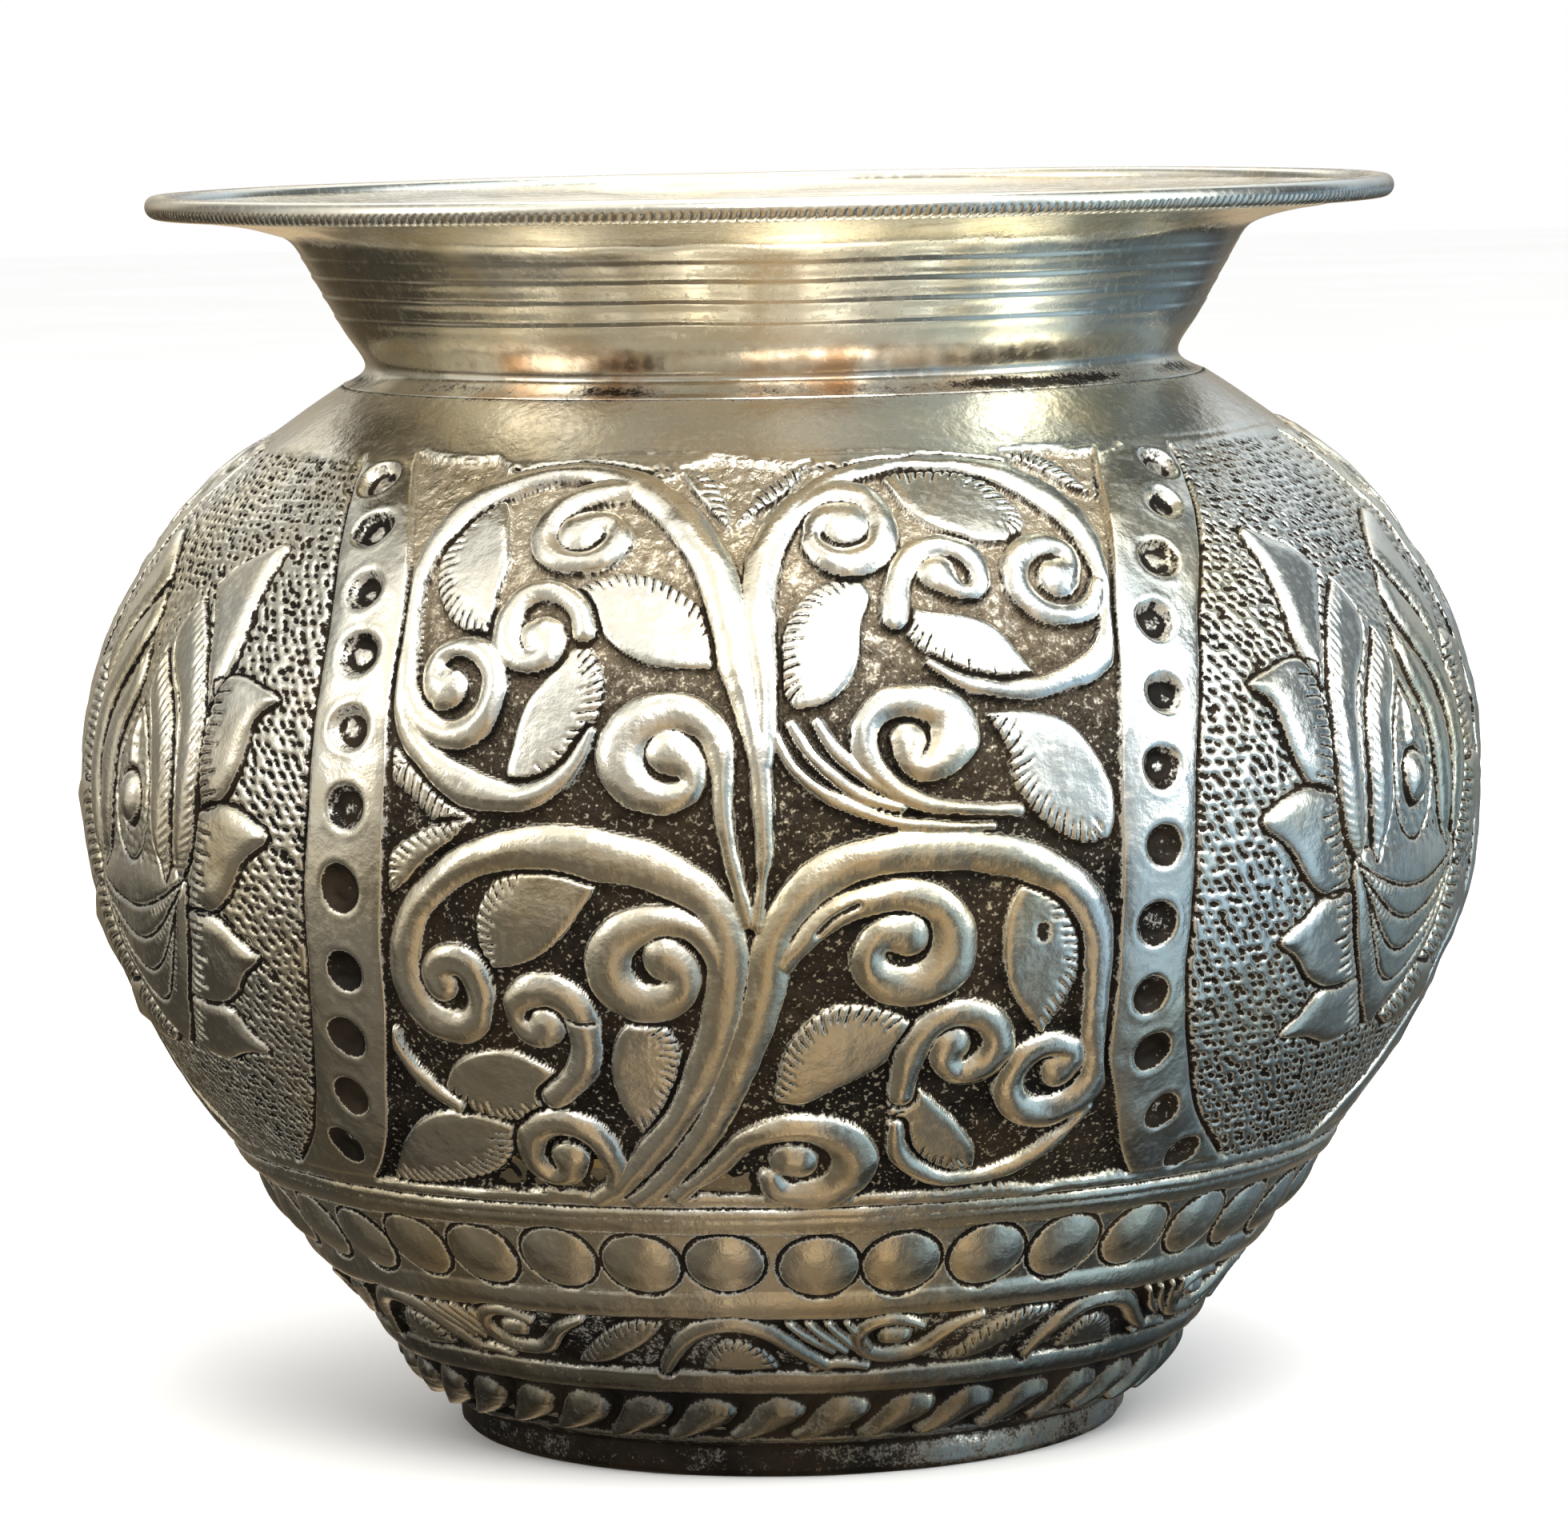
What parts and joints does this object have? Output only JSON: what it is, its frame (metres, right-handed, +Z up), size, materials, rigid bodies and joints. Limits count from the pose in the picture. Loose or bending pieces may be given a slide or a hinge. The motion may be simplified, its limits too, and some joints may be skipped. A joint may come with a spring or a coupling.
{
  "type": "lota water pot",
  "caption": "Round-bellied chased metal water pot with a flared neck, flat everted milled rim, vine and flower panels, bead and rope bands, and a low foot ring.",
  "frame": {"origin": "on the pot's axis, in the plane the foot ring stands on", "axes": "+Z up along the pot's axis towards the mouth; -Y looks at the middle of a vine panel"},
  "size_m": [0.14, 0.14, 0.1246],
  "materials": {
    "plated_brass_polished": "silver plate over brass, lathe-turned and hand-polished, warm where the plate is thin",
    "plated_brass_chased": "silver plate over brass, chased and matted, dark brown patina left in the recesses, ornament rubbed bright",
    "brass_braze": "bare yellow brass spelter, dull and flux-stained"
  },
  "bodies": {
    "root": {"rim_bead": "plated_brass_polished", "neck_collar": "plated_brass_polished", "throat_braze": "brass_braze", "belly_shell": "plated_brass_chased", "seam_braze": "brass_braze", "base_bowl": "plated_brass_chased", "foot_ring": "plated_brass_chased", "foot_solder": "brass_braze"}
  },
  "joints": []
}
